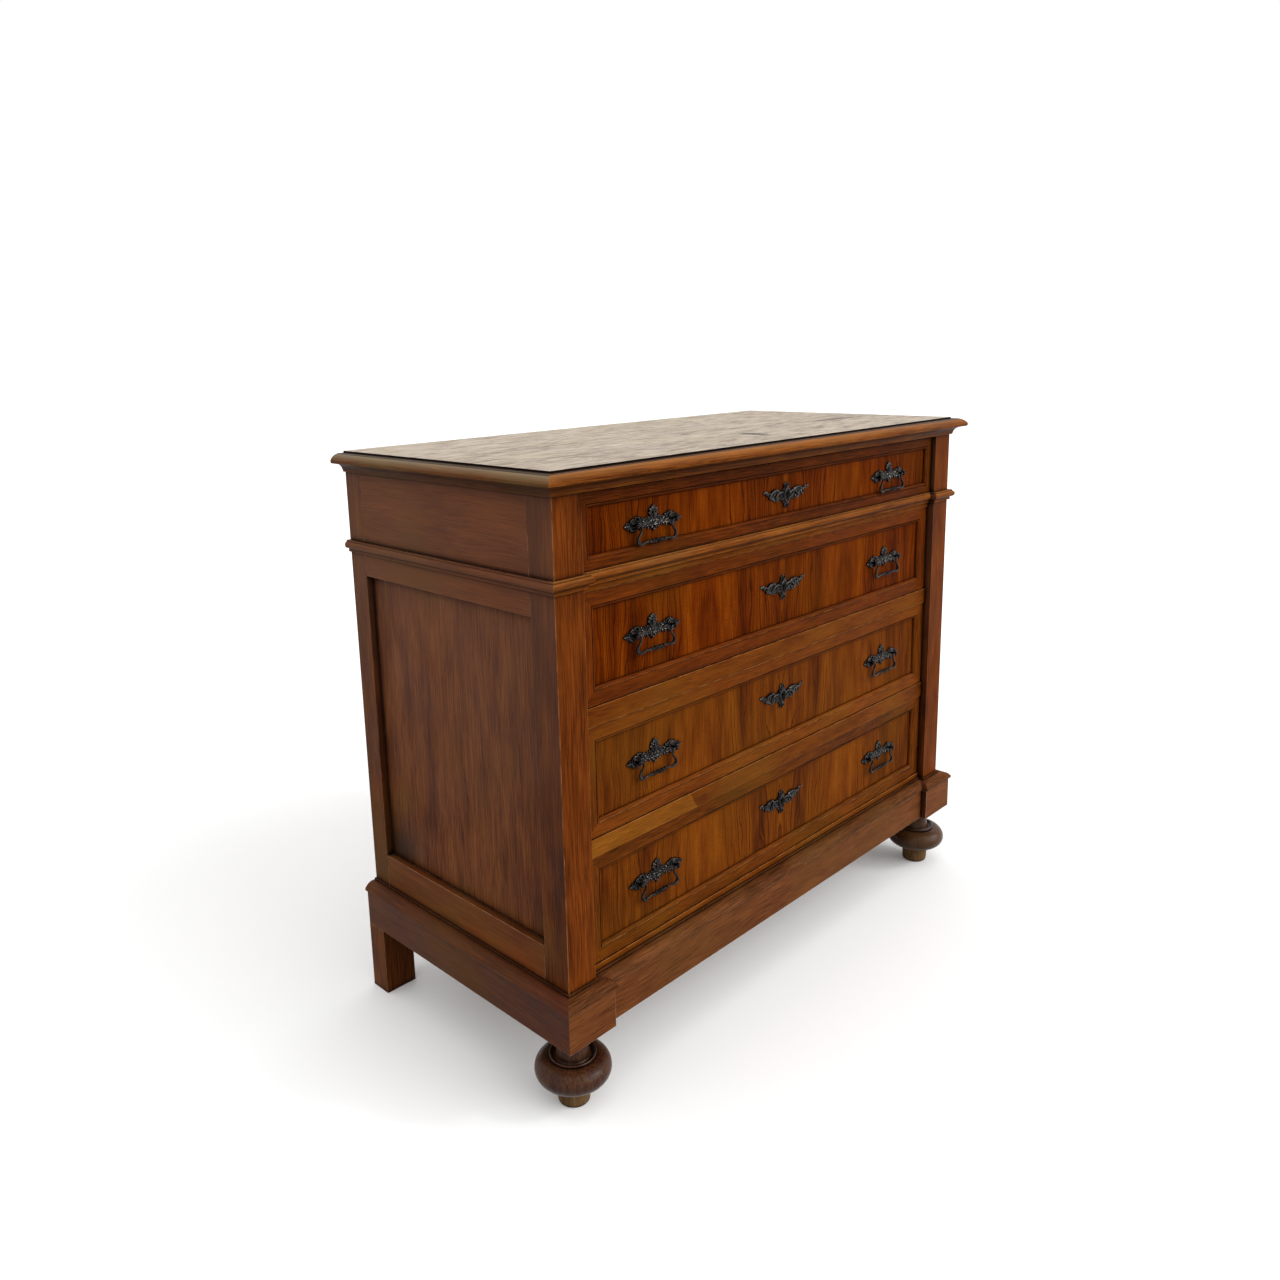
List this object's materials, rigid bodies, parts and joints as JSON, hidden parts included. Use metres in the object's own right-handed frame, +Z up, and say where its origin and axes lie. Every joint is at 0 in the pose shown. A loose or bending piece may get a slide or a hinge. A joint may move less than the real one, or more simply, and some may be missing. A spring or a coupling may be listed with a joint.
{
  "type": "chest of drawers",
  "caption": "Walnut chest of long drawers with pilaster corners, moulded cornice and plinth, bun front feet, cast bail pulls and locks.",
  "frame": {"origin": "middle of the footprint on the floor", "axes": "-Y is the front, +X to the right for someone facing it, +Z up"},
  "size_m": [1.224, 0.574, 1.03],
  "materials": {
    "walnut_front": "shellac-polished walnut veneer and solid walnut",
    "walnut_side": "dull varnished walnut",
    "walnut_top": "sun-bleached worn walnut",
    "turned_walnut": "dark stained turned wood",
    "softwood": "planed pine, unfinished",
    "iron": "forged iron, oxidised",
    "bronze": "cast bronze, dark patina worn on the high spots"
  },
  "bodies": {
    "case": {"top_board": "walnut_top", "cornice_moulding": "walnut_front", "right_front_post": "walnut_front", "left_front_post": "walnut_front", "right_rear_post": "walnut_side", "left_rear_post": "walnut_side", "right_side_panel": "walnut_side", "left_side_panel": "walnut_side", "side_rails": "walnut_side", "frieze_boards": "walnut_side", "waist_moulding": "walnut_front", "plinth_boards": "walnut_front", "plinth_moulding": "walnut_front", "front_rails": "walnut_front", "drawer_runners": "softwood", "drawer_guides": "softwood", "bottom_board": "softwood", "back_rails": "softwood", "back_boards": "softwood", "front_feet": "turned_walnut"},
    "drawer_1": {"drawer_1_front": "walnut_front", "drawer_1_frame": "walnut_front", "drawer_1_box": "softwood", "drawer_1_bottom": "softwood", "drawer_1_lock": "iron", "drawer_1_escutcheon": "bronze", "drawer_1_pull_plates": "bronze"},
    "bolt_1": {"drawer_1_bolt": "iron"},
    "bail_1_left": {"drawer_1_bail_left": "bronze"},
    "bail_1_right": {"drawer_1_bail_right": "bronze"},
    "drawer_2": {"drawer_2_front": "walnut_front", "drawer_2_frame": "walnut_front", "drawer_2_box": "softwood", "drawer_2_bottom": "softwood", "drawer_2_lock": "iron", "drawer_2_escutcheon": "bronze", "drawer_2_pull_plates": "bronze"},
    "bolt_2": {"drawer_2_bolt": "iron"},
    "bail_2_left": {"drawer_2_bail_left": "bronze"},
    "bail_2_right": {"drawer_2_bail_right": "bronze"},
    "drawer_3": {"drawer_3_front": "walnut_front", "drawer_3_frame": "walnut_front", "drawer_3_box": "softwood", "drawer_3_bottom": "softwood", "drawer_3_lock": "iron", "drawer_3_escutcheon": "bronze", "drawer_3_pull_plates": "bronze"},
    "bolt_3": {"drawer_3_bolt": "iron"},
    "bail_3_left": {"drawer_3_bail_left": "bronze"},
    "bail_3_right": {"drawer_3_bail_right": "bronze"},
    "drawer_4": {"drawer_4_front": "walnut_front", "drawer_4_frame": "walnut_front", "drawer_4_box": "softwood", "drawer_4_bottom": "softwood", "drawer_4_lock": "iron", "drawer_4_escutcheon": "bronze", "drawer_4_pull_plates": "bronze"},
    "bolt_4": {"drawer_4_bolt": "iron"},
    "bail_4_left": {"drawer_4_bail_left": "bronze"},
    "bail_4_right": {"drawer_4_bail_right": "bronze"}
  },
  "joints": [
    {"name": "drawer_1_slide", "type": "slide", "parent": "case", "child": "drawer_1", "axis": [0, -1, 0], "range_m": [0, 0.38]},
    {"name": "bolt_1_slide", "type": "slide", "parent": "drawer_1", "child": "bolt_1", "axis": [0, 0, 1], "range_m": [0, 0.008]},
    {"name": "bail_1_left_hinge", "type": "hinge", "parent": "drawer_1", "child": "bail_1_left", "pos_m": [-0.354, -0.2482, 0.92645], "axis": [-1, 0, 0], "range_deg": [-8, 165]},
    {"name": "bail_1_right_hinge", "type": "hinge", "parent": "drawer_1", "child": "bail_1_right", "pos_m": [0.354, -0.2482, 0.92645], "axis": [-1, 0, 0], "range_deg": [-8, 165]},
    {"name": "drawer_2_slide", "type": "slide", "parent": "case", "child": "drawer_2", "axis": [0, -1, 0], "range_m": [0, 0.38]},
    {"name": "bolt_2_slide", "type": "slide", "parent": "drawer_2", "child": "bolt_2", "axis": [0, 0, 1], "range_m": [0, 0.008]},
    {"name": "bail_2_left_hinge", "type": "hinge", "parent": "drawer_2", "child": "bail_2_left", "pos_m": [-0.354, -0.2427, 0.75], "axis": [-1, 0, 0], "range_deg": [-8, 165]},
    {"name": "bail_2_right_hinge", "type": "hinge", "parent": "drawer_2", "child": "bail_2_right", "pos_m": [0.354, -0.2427, 0.75], "axis": [-1, 0, 0], "range_deg": [-8, 165]},
    {"name": "drawer_3_slide", "type": "slide", "parent": "case", "child": "drawer_3", "axis": [0, -1, 0], "range_m": [0, 0.38]},
    {"name": "bolt_3_slide", "type": "slide", "parent": "drawer_3", "child": "bolt_3", "axis": [0, 0, 1], "range_m": [0, 0.008]},
    {"name": "bail_3_left_hinge", "type": "hinge", "parent": "drawer_3", "child": "bail_3_left", "pos_m": [-0.354, -0.2427, 0.538], "axis": [-1, 0, 0], "range_deg": [-8, 165]},
    {"name": "bail_3_right_hinge", "type": "hinge", "parent": "drawer_3", "child": "bail_3_right", "pos_m": [0.354, -0.2427, 0.538], "axis": [-1, 0, 0], "range_deg": [-8, 165]},
    {"name": "drawer_4_slide", "type": "slide", "parent": "case", "child": "drawer_4", "axis": [0, -1, 0], "range_m": [0, 0.38]},
    {"name": "bolt_4_slide", "type": "slide", "parent": "drawer_4", "child": "bolt_4", "axis": [0, 0, 1], "range_m": [0, 0.008]},
    {"name": "bail_4_left_hinge", "type": "hinge", "parent": "drawer_4", "child": "bail_4_left", "pos_m": [-0.354, -0.2427, 0.323], "axis": [-1, 0, 0], "range_deg": [-8, 165]},
    {"name": "bail_4_right_hinge", "type": "hinge", "parent": "drawer_4", "child": "bail_4_right", "pos_m": [0.354, -0.2427, 0.323], "axis": [-1, 0, 0], "range_deg": [-8, 165]}
  ]
}
